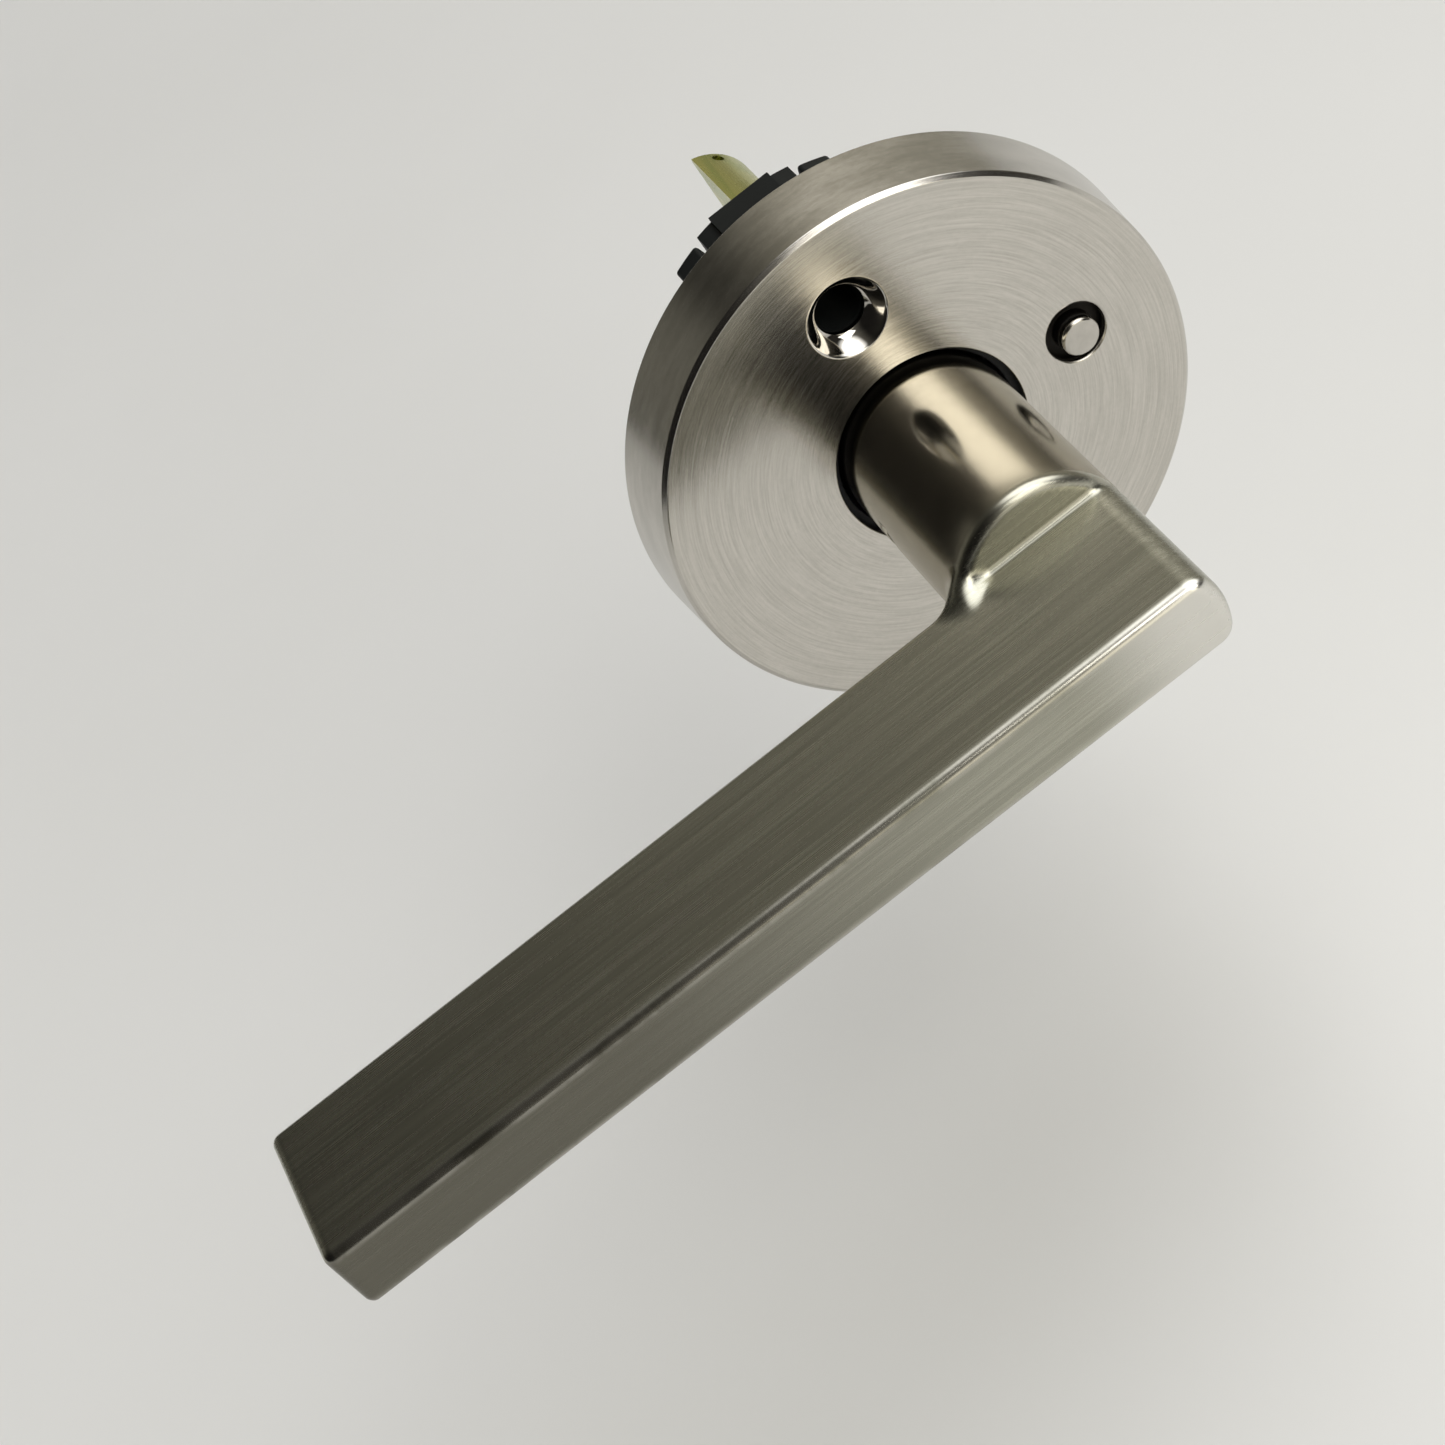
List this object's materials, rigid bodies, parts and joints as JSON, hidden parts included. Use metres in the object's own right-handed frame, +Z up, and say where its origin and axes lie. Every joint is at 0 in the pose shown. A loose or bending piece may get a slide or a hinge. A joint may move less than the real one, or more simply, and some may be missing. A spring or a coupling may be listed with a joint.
{
  "type": "lever handle lockset",
  "caption": "Room-side half of a privacy lever lockset: a slab lever on a round neck, a round rose with a push button, and a half-round spindle that turns the latch.",
  "frame": {"origin": "on the spindle axis, in the plane of the door face that the rose's back rim rests on", "axes": "+Z up, +Y into the door along the spindle, -Y into the room, the lever reaches along -X and the button is at +X"},
  "size_m": [0.1353, 0.1182, 0.0666],
  "materials": {
    "rose": "satin nickel, brushed in fine circles",
    "lever": "satin nickel, brushed along the lever",
    "button": "polished nickel",
    "black_nylon": "moulded black nylon",
    "bushing_nylon": "moulded black nylon, smooth",
    "spring_steel": "oiled spring steel",
    "zinc_plate": "clear zinc plated pressed steel",
    "screw_steel": "clear zinc plated steel",
    "cast_zinc": "bare zinc die casting",
    "yellow_zinc": "yellow chromate zinc plating"
  },
  "bodies": {
    "body": {"rose_cover": "rose", "chassis": "black_nylon", "neck_bushing": "bushing_nylon", "return_spring": "spring_steel", "cover_plate": "zinc_plate", "plate_screw_1": "screw_steel", "plate_screw_2": "screw_steel", "plate_screw_3": "screw_steel", "plate_screw_4": "screw_steel", "wave_washer": "spring_steel", "button_spring": "spring_steel"},
    "lever": {"lever_handle": "lever", "lever_set_screw": "screw_steel", "spindle_driver": "cast_zinc", "cam_plate": "zinc_plate", "retaining_ring": "spring_steel", "spindle": "yellow_zinc", "spindle_pin": "spring_steel"},
    "button": {"privacy_button": "button", "lock_pin": "screw_steel"}
  },
  "joints": [
    {"name": "lever_turn", "type": "hinge", "parent": "body", "child": "lever", "pos_m": [0, 0, 0], "axis": [0, -1, 0], "range_deg": [-45, 45], "stiffness_Nm_per_rad": 2, "springref_deg": -2.01, "deforming": ["return_spring"]},
    {"name": "button_push", "type": "slide", "parent": "body", "child": "button", "axis": [0, 1, 0], "range_m": [0, 0.0025], "stiffness_N_per_m": 800, "springref_m": -0.002, "deforming": ["button_spring"]}
  ]
}
